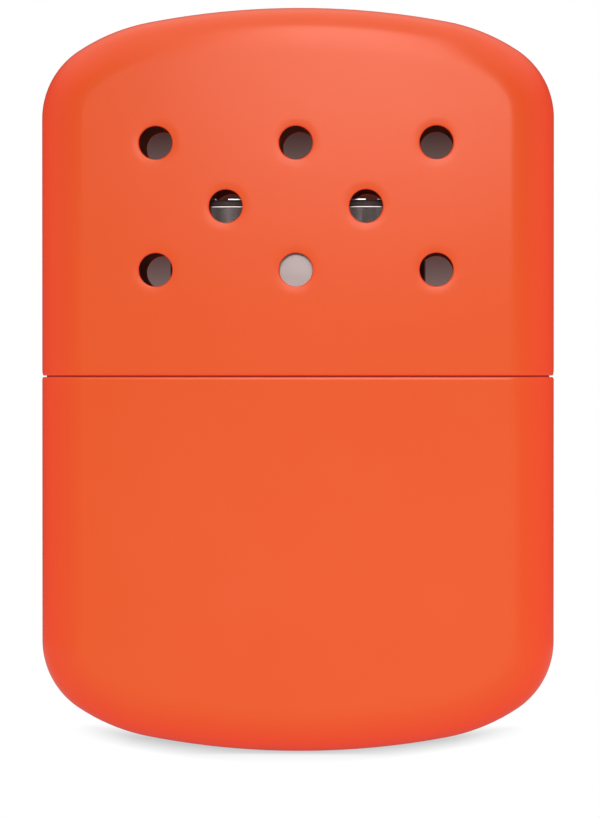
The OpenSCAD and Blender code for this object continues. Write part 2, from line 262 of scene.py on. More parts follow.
def powder_coat():
    """Satin orange powder coat with a fine peel, its colour made deeper on the rounded sides and
    under faces that look down: painted shade.
    """
    material, tree, shader = new_material("powder_coat", Specular_IOR_Level=0.35)
    where = surface_place(tree)
    mottle = spread(tree, noise_value(tree, where, 90, 3), 0, 1)
    flat = mixed_colour(tree, mottle, *PAINT_FLAT)
    # Painted shade: the edge attribute deepens the colour on the sides and on faces that look down.
    edge = add_node(tree, "ShaderNodeAttribute", attribute_name="edge")
    colour = mixed_colour(tree, edge.outputs["Fac"], flat, PAINT_IN_SHADE)
    tree.links.new(colour, shader.inputs["Base Color"])
    rough = spread(tree, noise_value(tree, where, 700, 3), 0.26, 0.27)
    tree.links.new(rough, shader.inputs["Roughness"])
    wavy = bumped(tree, noise_value(tree, where, 260, 2), 0.03 * MM, 0.1)
    peel = bumped(tree, noise_value(tree, where, 2100, 2), 0.008 * MM, 0.3, wavy)
    tree.links.new(peel, shader.inputs["Normal"])
    return material


def bare_inside():
    """The dull inside of the drawn cases: thin primer with a breath of orange overspray."""
    material, tree, shader = new_material("bare_inside", Specular_IOR_Level=0.25)
    where = surface_place(tree)
    spray_and_bounce = spread(tree, noise_value(tree, where, 300, 4), 0, 1)
    colour = mixed_colour(tree, spray_and_bounce, *PRIMER)
    tree.links.new(colour, shader.inputs["Base Color"])
    rough = spread(tree, noise_value(tree, where, 900, 3), 0.5, 0.65)
    tree.links.new(rough, shader.inputs["Roughness"])
    dusty = bumped(tree, noise_value(tree, where, 1400, 3), 0.01 * MM, 0.4)
    tree.links.new(dusty, shader.inputs["Normal"])
    return material


def plated(name, colours, roughness, grain, relief):
    """Plated sheet. Roughness and a faint relief run along the grain, which is a stretch."""
    material, tree, shader = new_material(name, Metallic=1.0)
    lines = noise_value(tree, surface_place(tree, grain), 900, 3)
    broad = noise_value(tree, surface_place(tree), 140, 2)
    mottled = mixed_colour(tree, spread(tree, broad, 0, 1), *colours)
    tree.links.new(mottled, shader.inputs["Base Color"])
    tree.links.new(spread(tree, lines, *roughness), shader.inputs["Roughness"])
    soft = bumped(tree, broad, 0.03 * MM, 0.3)
    tree.links.new(bumped(tree, lines, relief, 0.5, soft), shader.inputs["Normal"])
    return material


def fibres(name, colours, scale, relief):
    """Matted fibres: strands that run every way, with a soft sheen."""
    looks = {"Roughness": 0.95, "Sheen_Weight": 0.3, "Specular_IOR_Level": 0.2}
    material, tree, shader = new_material(name, **looks)
    total = 0
    for stretch in ((1, 0.12, 0.5), (0.12, 1, 0.5), (0.5, 0.4, 0.1)):
        strand = noise_value(tree, surface_place(tree, stretch), scale, 3, 0.6)
        total = math_value(tree, "MAXIMUM", strand, total)
    share = spread(tree, total, 0, 1, 0.45, 0.75)
    tree.links.new(mixed_colour(tree, share, *colours), shader.inputs["Base Color"])
    tree.links.new(bumped(tree, total, relief, 0.8), shader.inputs["Normal"])
    return material


def neck_finish():
    """Bright plate, with a faint orange band painted where the neck stands in the tank's rim: a
    painted reflection of the orange light that the painted rims bounce into the seam.
    """
    material, tree, shader = new_material("neck_plate")
    where = surface_place(tree)
    lines = noise_value(tree, surface_place(tree, UPRIGHT), 900, 3)
    ragged = math_value(tree, "MULTIPLY", noise_value(tree, where, 1500, 3), SEAM_BOUNCE_FADE)
    height = math_value(tree, "ADD", split(tree, where)["Z"], ragged)
    spray_and_bounce = spread(tree, height, 1, 0, SEAM_BOUNCE_TOP, SEAM_BOUNCE_TOP + SEAM_BOUNCE_FADE)
    colour = mixed_colour(tree, spray_and_bounce, BRIGHT[0], SEAM_BOUNCE_ORANGE)
    tree.links.new(colour, shader.inputs["Base Color"])
    tree.links.new(math_value(tree, "SUBTRACT", 1, spray_and_bounce), shader.inputs["Metallic"])
    duller = math_value(tree, "MULTIPLY", spray_and_bounce, SEAM_BOUNCE_ROUGHER)
    rough = math_value(tree, "ADD", spread(tree, lines, *POLISHED), duller)
    tree.links.new(rough, shader.inputs["Roughness"])
    tree.links.new(bumped(tree, lines, BRIGHT_RELIEF, 0.5), shader.inputs["Normal"])
    return material


PAINT = powder_coat()
INSIDE = bare_inside()
NECK_FINISH = neck_finish()
CHROME = plated("bright_plate", BRIGHT, POLISHED, UPRIGHT, BRIGHT_RELIEF)
SATIN = plated("satin_plate", WARM_GREY, (0.28, 0.36), ALONG, 0.006 * MM)
TINTED = plated("tinted_plate", HEAT_TINT, POLISHED, UPRIGHT, BRIGHT_RELIEF)
SHADED_WALL_PLATE = plated("shaded_wall_plate", WALL_SHADE_BLACK, (0.32, 0.45), UPRIGHT, 0.004 * MM)
WIRE = plated("dull_wire", WIRE_GREY, (0.3, 0.45), EVERY_WAY, 0.004 * MM)
MINERAL = fibres("mineral_fibre", MINERAL_WHITE, 2600, 0.2 * MM)
COTTON = fibres("cotton_fibre", COTTON_WHITE, 900, 0.4 * MM)

# ---- meshes -----------------------------------------------------------------------------------


class Skin:
    """A mesh in the making: its vertices with their exact normals, and the faces between them."""

    def __init__(self):
        self.places = []
        self.normals = []
        self.faces = []
        self.slots = []

    def add(self, place, normal):
        self.places.append(Vector(place))
        self.normals.append(Vector(normal).normalized())
        return len(self.places) - 1

    def face(self, corners, slot=0):
        """Adds a face, turned so that it looks the way its vertices' normals do."""
        first, second, third = (self.places[i] for i in corners[:3])
        out = sum((self.normals[i] for i in corners), Vector())
        if (second - first).cross(third - first).dot(out) < 0:
            corners = corners[::-1]
        self.faces.append(corners)
        self.slots.append(slot)

    def bridge(self, first, second, slot=0, closed=True):
        """A strip of faces between two rows of as many vertices."""
        turns = range(len(first) if closed else len(first) - 1)
        for i in turns:
            j = (i + 1) % len(first)
            self.face((first[i], first[j], second[j], second[i]), slot)

    def bridge_all(self, rows, slot=0, closed=True):
        for first, second in pairwise(rows):
            self.bridge(first, second, slot, closed)

    def fill(self, outline, holes=(), slot=0):
        """Fills a flat outline apart from its holes."""
        loops = [outline, *holes]
        corners = [i for loop in loops for i in loop]
        for triangle in tessellate_polygon([[self.places[i] for i in loop] for loop in loops]):
            self.face(tuple(corners[k] for k in triangle), slot)

    def sweep(self, ring, profile, slot=0, closed=False):
        """Carries a profile round a ring. Returns the rows of vertices."""
        rows = []
        for out, z, level, up in profile:
            rows.append([
                self.add((x + nx * out, y + ny * out, z), (nx * level, ny * level, up))
                for x, y, nx, ny in ring
            ])
        self.bridge_all([*rows, rows[0]] if closed else rows, slot)
        return rows

    def make(self, name, materials, slot_name, body, *nodes):
        """The piece: it rides on its body and stands for its nodes."""
        mesh = bpy.data.meshes.new(name)
        mesh.from_pydata(self.places, [], self.faces)
        for material in materials:
            mesh.materials.append(material)
        mesh.polygons.foreach_set("material_index", self.slots)
        # The edge attribute is painted shade: how far the paint's colour is deepened on the sides
        # and under faces that look down.
        edge = mesh.attributes.new("edge", "FLOAT", "POINT")
        edge.data.foreach_set("value", [
            math.hypot(SIDE_SHADE * normal.x, max(-normal.z, 0) ** UNDER_SHADE_POWER)
            for normal in self.normals
        ])
        mesh.shade_smooth()
        mesh.normals_split_custom_set_from_vertices(self.normals)
        piece = bpy.data.objects.new(name, mesh)
        bpy.context.scene.collection.objects.link(piece)
        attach(piece, body)
        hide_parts(*nodes)
        return piece


def rounded(corners, steps=4, closed=True):
    """An outline or profile from corners (x, y, radius), listed with the metal on the left hand.
    Each point is (x, y, x of its normal, y of its normal). Arcs that meet share their point."""
    points = []
    for i, (x, y, radius) in enumerate(corners):
        here = Vector((x, y))
        back = (Vector(corners[i - 1][:2]) - here).normalized()
        ahead = (Vector(corners[(i + 1) % len(corners)][:2]) - here).normalized()
        if not closed and i == 0:
            points.append((x, y, ahead.y, -ahead.x))
            continue
        if not closed and i == len(corners) - 1:
            points.append((x, y, -back.y, back.x))
            continue
        centre = here + (back + ahead).normalized() * radius / math.sin(back.angle(ahead) / 2)
        convex = 1 if back.x * ahead.y - back.y * ahead.x < 0 else -1
        start = Vector((-back.y, back.x)) * convex
        stop = Vector((ahead.y, -ahead.x)) * convex
        for k in range(steps + 1):
            arm = start.slerp(stop, k / steps)
            place = centre + arm * radius
            if not points or (place - Vector(points[-1][:2])).length > TOUCHING:
                points.append((place.x, place.y, arm.x * convex, arm.y * convex))
    return points


def box_ring(width, thickness, radius, steps=10):
    """A box with rounded corners, seen from above, from the front end of its right side."""
    x, y = width / 2, thickness / 2
    return rounded(((x, -y, radius), (x, y, radius), (-x, y, radius), (-x, -y, radius)), steps)


def stadium(length, width):
    """A slot shape with round ends, seen from above."""
    return box_ring(length, width, width / 2, steps=14)


def circle(x, y, radius, around=24):
    turns = [2 * math.pi * k / around for k in range(around)]
    arms = [(math.cos(turn), math.sin(turn)) for turn in turns]
    return [(x + radius * nx, y + radius * ny, nx, ny) for nx, ny in arms]


def as_hole(ring):
    """The same outline with its normals turned into the opening."""
    return [(x, y, -nx, -ny) for x, y, nx, ny in ring]


def add_plate(skin, outline, low, high, edge, holes=(), lean=0):
    """A flat plate with softly broken edges that may lean in, apart from its holes."""
    inner = -lean - 2 * edge
    corners = ((inner, low, 0), (0, low, edge), (-lean, high, edge), (inner, high, 0))
    swept = [skin.sweep(ring, rounded(corners, 3, closed=False)) for ring in (outline, *holes)]
    for end in (0, -1):
        rim, *openings = (rows[end] for rows in swept)
        skin.fill(rim, openings)


def add_strand(skin, path, section):
    """Carries a section along a path of (place, across, up), and closes both ends."""
    rows = [
        [skin.add(place + a * across + b * up, na * across + nb * up) for a, b, na, nb in section]
        for place, across, up in path
    ]
    skin.bridge_all(rows)
    for row, last, before in ((rows[0], path[0], path[1]), (rows[-1], path[-1], path[-2])):
        skin.fill([skin.add(skin.places[i], last[0] - before[0]) for i in row])


# ---- the drawn cases --------------------------------------------------------------------------


def end_curve():
    """The end of the case from left to right, as (x, height, normal x, normal z)."""
    def down(angle):
        return Vector((math.sin(angle), -math.cos(angle)))

    crown = Vector((0, CROWN_R))
    shoulder = crown + (CROWN_R - SHOULDER_R) * down(CROWN_ANGLE)
    corner = shoulder + (SHOULDER_R - CORNER_R) * down(SHOULDER_ANGLE)
    arcs = (
        (crown, CROWN_R, 0, CROWN_ANGLE, 10),
        (shoulder, SHOULDER_R, CROWN_ANGLE, SHOULDER_ANGLE, 9),
        (corner, CORNER_R, SHOULDER_ANGLE, math.pi / 2, 18),
    )
    half = []
    for centre, radius, start, stop, steps in arcs:
        for k in range(1, steps + 1):
            way = down(start + (stop - start) * k / steps)
            place = centre + radius * way
            half.append((place.x, place.y, way.x, way.y))
    left = [(-x, height, -nx, nz) for x, height, nx, nz in reversed(half)]
    return [*left, (0, 0, 0, -1), *half]


def case_path(from_z, tip_z):
    """The outline of a case from its left side over the end to its right side."""
    up = 1 if tip_z < from_z else -1
    curve = [(x, tip_z + up * height, nx, up * nz) for x, height, nx, nz in end_curve()]
    steps = 6
    sides = {}
    for sign, end in ((-1, curve[0]), (1, curve[-1])):
        sides[sign] = [
            (end[0], end[1] + (from_z - end[1]) * k / steps, sign, 0) for k in range(1, steps + 1)
        ]
    return [*reversed(sides[-1]), *curve, *sides[1]]


def vent_profile():
    """(radius, depth, part of the normal along the radius, part along the face's normal)"""
    profile = []
    dish_steps, lip_steps, burr_steps = 5, 6, 2
    slope = math.atan(2 * VENT_DISH_DEPTH / VENT_DISH)
    edge = VENT_R + VENT_LIP * (1 - math.sin(slope))
    for k in range(dish_steps):
        s = k / dish_steps
        radius = edge + VENT_DISH * (1 - s)
        profile.append((radius, VENT_DISH_DEPTH * s**2, -2 * VENT_DISH_DEPTH * s / VENT_DISH, 1))
    for k in range(lip_steps + 1):
        t = slope + (math.pi / 2 - slope) * k / lip_steps
        radius = VENT_R + VENT_LIP * (1 - math.sin(t))
        depth = VENT_DISH_DEPTH + VENT_LIP * (math.cos(slope) - math.cos(t))
        profile.append((radius, depth, -math.sin(t), math.cos(t)))
    for k in range(burr_steps + 1):
        t = math.radians(90 * k / burr_steps)
        radius = VENT_R + VENT_BURR * (1 - math.cos(t))
        depth = SHEET - VENT_BURR * (1 - math.sin(t))
        profile.append((radius, depth, -math.cos(t), -math.sin(t)))
    return profile


def add_vent(skin, x, z, face, around=56):
    """One vent through a flat face. Returns its outermost and its innermost ring."""
    rows = []
    for radius, depth, level, out in vent_profile():
        row = []
        for px, pz, nx, nz in circle(x, z, radius, around):
            place = (px, face * (CASE_T / 2 - depth), pz)
            row.append(skin.add(place, (level * nx, face * out, level * nz)))
        rows.append(row)
    skin.bridge_all(rows)
    return rows[0], rows[-1]


def rim_profile(height):
    """The rim's outer quarter ellipse and its small inner rounding, as heights below the rim."""
    profile = []
    steps = 6
    for k in range(1, steps + 1):
        t = math.radians(90 * k / steps)
        out, below = RIM_IN * (math.cos(t) - 1), height * (math.sin(t) - 1)
        profile.append((out, below, math.cos(t) / RIM_IN, math.sin(t) / height))
    burr = SHEET - RIM_IN
    for t in (math.radians(45), math.radians(90)):
        out, below = -RIM_IN - burr * math.sin(t), burr * (math.cos(t) - 1)
        profile.append((out, below, -math.sin(t), math.cos(t)))
    return profile


def drawn_case(name, node, body, rim_z, tip_z, rim_h, vents=()):
    """A drawn cup: flat faces, rounded edges, a curved end, and a rim that turns in a little."""
    skin = Skin()
    away = 1 if rim_z > tip_z else -1
    ring = box_ring(CASE_W, CASE_T, EDGE_R)
    side = ring[: len(ring) // 2]
    path = case_path(rim_z - away * rim_h, tip_z)
    through = {face: [add_vent(skin, x, z, face) for x, z in vents] for face in (-1, 1)}

    borders = []
    for slot, depth in enumerate((0, SHEET)):
        turned = -1 if slot else 1
        rows = []
        for x, z, nx, nz in path:
            row = []
            for sx, sy, level, across in side:
                inset = CASE_W / 2 - sx
                place = Vector((x - nx * inset, sy, z - nz * inset))
                normal = Vector((nx * level, across, nz * level))
                row.append(skin.add(place - depth * normal, turned * normal))
            rows.append(row)
        skin.bridge_all(rows, slot, closed=False)
        for face, end in ((-1, 0), (1, -1)):
            skin.fill([row[end] for row in rows], [pair[slot] for pair in through[face]], slot)
        borders.append(rows[-1] + rows[0][::-1])

    profile = [
        (out, rim_z + away * below, level, away * up)
        for out, below, level, up in rim_profile(rim_h)
    ]
    rows = skin.sweep(ring, profile)
    skin.bridge(borders[0], rows[0])
    skin.bridge(rows[-1], borders[1], 1)
    return skin.make(name, (PAINT, INSIDE), "painted_case", body, node)


def make_cases():
    vents = [
        (x * VENT_PITCH_X, VENT_MIDDLE_Z + row * VENT_PITCH_Z)
        for row, columns in ((-1, (-1, 0, 1)), (0, (-0.5, 0.5)), (1, (-1, 0, 1)))
        for x in columns
    ]
    drawn_case("tank_case", "tank_shell", "tank", TANK_HIGH.z, 0, TANK_RIM)
    drawn_case("lid_case", "lid_shell", "lid", LID_LOW.z, CASE_H, LID_RIM, vents)


# ---- the plated pieces ------------------------------------------------------------------------


def make_neck():
    """The sleeve that guides the lid: a foot pressed into the tank, a wall, and the deck on top."""
    skin = Skin()
    ring = box_ring(CASE_W - 2 * NECK_GAP, CASE_T - 2 * NECK_GAP, EDGE_R - NECK_GAP)
    low, deck = NECK_LOW.z, NECK_HIGH.z
    under = deck - SHEET
    foot = NECK_GAP - SHEET - PRESS_GAP
    foot_top = TANK_HIGH.z - NECK_RIM_CLEAR
    reach = NECK_EDGE_R + NECK_DECK_LAP
    corners = (
        (-reach, under, 0),
        (-SHEET, under, NECK_EDGE_R - SHEET),
        (-SHEET, low, FINE_R),
        (foot, low, FINE_R),
        (foot, foot_top, FINE_R),
        (0, foot_top, FINE_R),
        (0, deck, NECK_EDGE_R),
        (-reach, deck, 0),
    )
    wall = skin.sweep(ring, rounded(corners, 6, closed=False))
    hole = as_hole(stadium(MOUTH_L + 2 * PRESS_GAP, MOUTH_W + 2 * PRESS_GAP))
    lap = -2 * FINE_R
    edges = ((lap, under, 0), (0, under, FINE_R), (0, deck, FINE_R), (lap, deck, 0))
    opening = skin.sweep(hole, rounded(edges, closed=False))
    skin.fill(wall[0], [opening[0]])
    skin.fill(wall[-1], [opening[-1]])
    skin.make("neck_sleeve", (NECK_FINISH,), "bright_plate", "tank", "neck_cap")


def make_mouth():
    """The filler mouth: a tube with a rolled rim and a flange under the deck."""
    skin = Skin()
    low, high = MOUTH_LOW.z, MOUTH_HIGH.z
    flange_high = NECK_HIGH.z - SHEET - PRESS_GAP
    flange_low = flange_high - SHEET
    corners = (
        (0, low, FINE_R),
        (0, flange_low, BEND_R),
        (MOUTH_FLANGE, flange_low, FINE_R),
        (MOUTH_FLANGE, flange_high, FINE_R),
        (0, flange_high, BEND_R),
        (0, high, MOUTH_LIP_R),
        (-SHEET, high, MOUTH_LIP_R),
        (-SHEET, low, FINE_R),
    )
    skin.sweep(stadium(MOUTH_L, MOUTH_W), rounded(corners), closed=True)
    skin.make("mouth_neck", (CHROME,), "bright_plate", "tank", "mouth_tube")


def make_bridge():
    """A strap bent over the mouth, with two legs down its walls."""
    skin = Skin()
    half = (BRIDGE_HIGH.y - BRIDGE_LOW.y - SHEET) / 2
    low, high = BRIDGE_LOW.z, BRIDGE_HIGH.z - SHEET / 2
    bend = 2 * SHEET
    corners = ((-half, low, 0), (-half, high, bend), (half, high, bend), (half, low, 0))
    path = [
        (Vector((0, y, z)), Vector((1, 0, 0)), Vector((0, ny, nz)))
        for y, z, ny, nz in rounded(corners, 8, closed=False)
    ]
    add_strand(skin, path, box_ring(BRIDGE_HIGH.x - BRIDGE_LOW.x, SHEET, FINE_R, 3))
    skin.make("bridge_strap", (CHROME,), "bright_plate", "tank", "mouth_bridge")


def make_skirt():
    """The burner's outer wall, drawn in at the top to a ledge round the bezel."""
    skin = Skin()
    low, high = SKIRT_LOW.z, SKIRT_HIGH.z
    ledge = PRESS_GAP - BEZEL_STEP
    corners = (
        (-SHEET, low, FINE_R),
        (0, low, FINE_R),
        (0, high, SKIRT_EDGE_R),
        (ledge, high, FINE_R),
        (ledge, high - SHEET, FINE_R),
        (-SHEET, high - SHEET, BEND_R),
    )
    ring = stadium(SKIRT_HIGH.x - SKIRT_LOW.x, SKIRT_HIGH.y - SKIRT_LOW.y)
    skin.sweep(ring, rounded(corners, 5), closed=True)
    skin.make("burner_wall", (SATIN,), "burner_sheet", "burner", "burner_skirt")


def make_bezel():
    """The burner's upper frame: a foot under the ledge, a wall, and a rim turned in at the top."""
    skin = Skin()
    low, high = BEZEL_LOW.z, BEZEL_HIGH.z
    foot = BEZEL_STEP - SHEET - PRESS_GAP
    foot_top = SKIRT_HIGH.z - SHEET - PRESS_GAP
    corners = (
        (-SHEET, low, FINE_R),
        (foot, low, FINE_R),
        (foot, foot_top, FINE_R),
        (0, foot_top, FINE_R),
        (0, high, BEZEL_EDGE_R),
        (-BEZEL_RIM, high, BEND_R),
        (-BEZEL_RIM, high - SHEET, BEND_R),
        (-SHEET, high - SHEET, BEND_R),
    )
    skin.sweep(stadium(BEZEL_L, BEZEL_W), rounded(corners, 5), closed=True)
    skin.make("bezel_frame", (TINTED,), "bright_plate", "burner", "burner_bezel")


def make_support():
    """The perforated floor under the catalyst."""
    skin = Skin()
    columns = [(k - (PLATE_COLUMNS - 1) / 2) * PLATE_PITCH for k in range(PLATE_COLUMNS)]
    rows = (-PLATE_PITCH / 2, PLATE_PITCH / 2)
    holes = [as_hole(circle(x, y, PLATE_HOLE_R)) for x in columns for y in rows]
    outline = stadium(PLATE_HIGH.x - PLATE_LOW.x, PLATE_HIGH.y - PLATE_LOW.y)
    add_plate(skin, outline, PLATE_LOW.z, PLATE_HIGH.z, FINE_R, holes)
    skin.make("support_floor", (WIRE,), "wire", "burner", "support_plate")


def make_guard():
    """The cover over the screen: a flange under the bezel's rim, a wall, and a slotted top."""
    skin = Skin()
    wall_l, wall_w = GUARD_L - 2 * GUARD_OVERHANG, GUARD_W - 2 * GUARD_OVERHANG
    flange = (GUARD_HIGH.x - GUARD_LOW.x - wall_l) / 2
    low, high = GUARD_LOW.z, GUARD_HIGH.z
    top_low = high - GUARD_SHEET
    corners = (
        (-GUARD_SHEET, low, FINE_R),
        (flange, low, FINE_R),
        (flange, low + GUARD_SHEET, FINE_R),
        (0, low + GUARD_SHEET, BEND_R),
        (0, top_low, FINE_R),
        (-GUARD_SHEET, top_low, FINE_R),
    )
    # The flange and wall take the second material, whose near-black is painted shade under the
    # overhanging top.
    skin.sweep(stadium(wall_l, wall_w), rounded(corners), 1, closed=True)

    slots = [(k - (SLOT_COUNT - 1) / 2) * SLOT_PITCH for k in range(SLOT_COUNT)]
    starts = [-GUARD_L / 2] + [x + SLOT_W / 2 for x in slots]
    stops = [x - SLOT_W / 2 for x in slots] + [GUARD_L / 2]
    x_end, y = GUARD_L / 2, GUARD_W / 2
    for start, stop in zip(starts, stops):
        left = y if start == -x_end else BEND_R
        right = y if stop == x_end else BEND_R
        corners = ((stop, -y, right), (stop, y, right), (start, y, left), (start, -y, left))
        add_plate(skin, rounded(corners, 12), top_low, high, GUARD_EDGE_R, lean=GUARD_EDGE_LEAN)
    skin.make("guard_cover", (CHROME, SHADED_WALL_PLATE), "bright_plate", "burner", "burner_guard")


def make_screen():
    """Woven wires, each passing over one crossing and under the next."""
    skin = Skin()
    section = circle(0, 0, WIRE_R, 8)
    level = SCREEN_HIGH.z - 2 * WIRE_R
    length, width = SCREEN_HIGH.x - SCREEN_LOW.x, SCREEN_HIGH.y - SCREEN_LOW.y
    end_r = width / 2
    rate = math.pi / MESH_PITCH
    step = MESH_PITCH / 6

    def add_wire(along, across, offset, half, sign):
        count = round(2 * half / step)
        path = []
        for k in range(count + 1):
            t = -half + 2 * half * k / count
            rise = sign * WIRE_R * math.cos(rate * t)
            slope = -sign * WIRE_R * rate * math.sin(rate * t)
            place = t * along + offset * across + Vector((0, 0, level + rise))
            path.append((place, across, (Vector((0, 0, 1)) - slope * along).normalized()))
        add_strand(skin, path, section)

    x_way, y_way = Vector((1, 0, 0)), Vector((0, 1, 0))
    rows = int(end_r / MESH_PITCH)
    for row in range(-rows, rows + 1):
        y = row * MESH_PITCH
        half = length / 2 - end_r + math.sqrt(end_r**2 - y**2) - WIRE_R
        add_wire(x_way, y_way, y, half, (-1) ** row)
    columns = int((length / 2 - WIRE_R) / MESH_PITCH)
    for column in range(-columns, columns + 1):
        x = column * MESH_PITCH
        into_end = max(0, abs(x) - (length / 2 - end_r))
        half = math.sqrt(end_r**2 - into_end**2) - WIRE_R
        add_wire(y_way, x_way, x, half, -((-1) ** column))
    skin.make("woven_screen", (WIRE,), "wire", "burner", "wire_screen")


def make_plated_pieces():
    make_neck()
    make_mouth()
    make_bridge()
    make_skirt()
    make_bezel()
    make_support()
    make_guard()
    make_screen()


# ---- the wadding and the catalyst mat ----------------------------------------------------------
# Depths are shares of a pad's relief, and the size of its lumps is a multiple of it.

LUMP_SIZE = 6
LUMP_DEPTH = 0.45
TUFT_NOISE = (0.7, 2.0, 3)  # roughness, step between octaves, octaves
TUFT_DEPTH = 0.2
PAD_MEAN_DEPTH = 0.5
COTTON_FILL = 0.5
MAT_FILL = 0.7


def make_pad(name, node, body, material, slot, voxel, relief, fill):
    """A soft piece in its node's space: lumps and hollows sink in from the node's surface."""
    source = bpy.data.objects.new(name, frame["nodes"][node].data.copy())
    bpy.context.scene.collection.objects.link(source)
    remesh = source.modifiers.new("remesh", "REMESH")
    remesh.mode = "VOXEL"
    remesh.voxel_size = voxel
    smooth = source.modifiers.new("smooth", "SMOOTH")
    smooth.iterations = 5
    shaped = source.evaluated_get(bpy.context.evaluated_depsgraph_get())
    mesh = bpy.data.meshes.new_from_object(shaped)
    bpy.data.objects.remove(source)

    normals = [vertex.normal.copy() for vertex in mesh.vertices]
    for vertex, normal in zip(mesh.vertices, normals):
        lumps = noise.noise(vertex.co / (LUMP_SIZE * relief))
        tufts = noise.fractal(vertex.co / relief, *TUFT_NOISE)
        depth = PAD_MEAN_DEPTH - LUMP_DEPTH * lumps - TUFT_DEPTH * tufts
        vertex.co -= normal * relief * min(1, max(0, depth))
    mesh.shade_smooth()
    mesh.materials.clear()
    mesh.materials.append(material)
    pad = bpy.data.objects.new(name, mesh)
    bpy.context.scene.collection.objects.link(pad)
    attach(pad, body)
    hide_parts(node)


def make_soft_pieces():
    cotton = ("tank", COTTON, "cotton")
    for place in ("lower", "middle", "upper", "neck"):
        make_pad(f"{place}_cotton", f"{place}_wadding", *cotton, 0.8 * MM, 1.1 * MM, COTTON_FILL)
    make_pad("mouth_cotton", "mouth_wadding", *cotton, 0.4 * MM, 0.8 * MM, COTTON_FILL)
    mineral = ("burner", MINERAL, "catalyst_fibre")
    make_pad("fibre_mat", "catalyst_mat", *mineral, 0.25 * MM, 0.12 * MM, MAT_FILL)


# ---- the stage --------------------------------------------------------------------------------

SQUARE = ((-1, -1), (1, -1), (1, 1), (-1, 1))
FRAME_PIXELS_HIGH = 818
PIXELS_PER_MM = 7.537
SENSOR = 36
EYE = Vector((18.6, -500, 50)) * MM  # a little to the right of the middle, half a metre away
AIM = Vector((0.285, 0, 45.44)) * MM
OUTLINE_Y = -1.8 * MM  # where the silhouette seen from the front lies
NEAR_CLIP = 10 * MM
WORLD_LIGHT = 0.46  # from the front and from behind
SIDE_LIGHT = 1.45
SIDE_TURN = (0.2, 0.8)  # how far to the front or back a direction points, from one to the other
ROOM_LIGHT = 0.1  # what a reflection sees of the room in front of the object
ROOM_TURN = (0.35, 0.8)  # how far up a direction points, from the room to white
FLOOR_SIZE = 3  # half of its side, in metres
FLOOR_LIGHT = 0.9
FLOOR_GLOSS = 0.4  # what a reflection sees of the floor
FLOOR_GLOSS_FADE = (80 * MM, 350 * MM)  # how far from the middle that falls to the room's light
SHADOW_REACH = 30 * MM
SHADOW_LEAN = (0, -0.8, 0.6)  # the side that the shadow's light comes from
SHADOW_GREY = 0.5
SHADOW_OPEN = (0.5, 1)  # openness at which the floor has that grey, and at which it is white
SHADOW_DEPTH = 0.43  # how much the floor darkens at most
SHADOW_FRONT = (-18 * MM, -1 * MM)  # where it fades towards the front, in the middle
SHADOW_BOW = 40  # how fast that line moves back towards the sides, per metre
SHADOW_MIDDLE = -1 * MM
SHADOW_SIDE = (22 * MM, 32 * MM)  # how far out from there it fades
CARD_W = 48 * MM
CARD_H = 28 * MM
CARD_GAP = 0.08 * MM
# Painted shade: the colours of the dark card seen through the vents, by height.
CARD_SHADE_STOPS = (  # from the lowest vent to the highest: both ends first, then what lies between
    (0, (0.18, 0.125, 0.12)),
    (1, (0.06, 0.028, 0.026)),
    (0.22, (0.1, 0.045, 0.042)),
    (0.4, (0.06, 0.015, 0.012)),
    (0.6, (0.06, 0.015, 0.012)),
    (0.8, (0.14, 0.085, 0.08)),
)
PAINT_LAMP = Vector((10, -200, 86)) * MM  # the middle of a softbox's lower edge
PAINT_LAMP_W = 70 * MM
PAINT_LAMP_POWER = 0.26
PLATE_LAMP = Vector((10, -200, 104)) * MM
PLATE_LAMP_W = 140 * MM
PLATE_LAMP_POWER = 0.36
LAMP_TOP = Vector((10, -100, 330)) * MM  # the middle of both softboxes' upper edge
FILL_LAMP = Vector((20, -110, 10)) * MM
FILL_SIZE = (100 * MM, 60 * MM)
FILL_POWER = 0.03


def make_camera():
    data = bpy.data.cameras.new("camera")
    camera = bpy.data.objects.new("camera", data)
    bpy.context.scene.collection.objects.link(camera)
    camera.location = EYE
    camera.rotation_euler = (AIM - EYE).to_track_quat("-Z", "Y").to_euler()
    data.sensor_width = SENSOR
    data.lens = SENSOR * (OUTLINE_Y - EYE.y) / (FRAME_PIXELS_HIGH / PIXELS_PER_MM * MM)
    data.clip_start = NEAR_CLIP
    bpy.context.scene.camera = camera


def area_light(name, place, size, power):
    data = bpy.data.lights.new(name, "AREA")
    data.shape = "RECTANGLE"
    data.size, data.size_y = size
    data.energy = power
    lamp = bpy.data.objects.new(name, data)
    bpy.context.scene.collection.objects.link(lamp)
    lamp.location = place
    lamp.visible_camera = False
    return lamp


def empty_tree(holder):
    holder.use_nodes = True
    holder.node_tree.nodes.clear()
    return holder.node_tree


def mixed_shader(tree, share, first, second):
    mix = add_node(tree, "ShaderNodeMixShader")
    tree.links.new(share, mix.inputs[0])
    tree.links.new(first, mix.inputs[1])
    tree.links.new(second, mix.inputs[2])
    return mix.outputs[0]


def seen_directly(tree):
    """1 for rays from the camera and those that come by reflection or through glass."""
    path = add_node(tree, "ShaderNodeLightPath")
    total = path.outputs["Is Camera Ray"]
    for name in ("Is Glossy Ray", "Is Transmission Ray"):
        total = math_value(tree, "MAXIMUM", total, path.outputs[name])
    return total


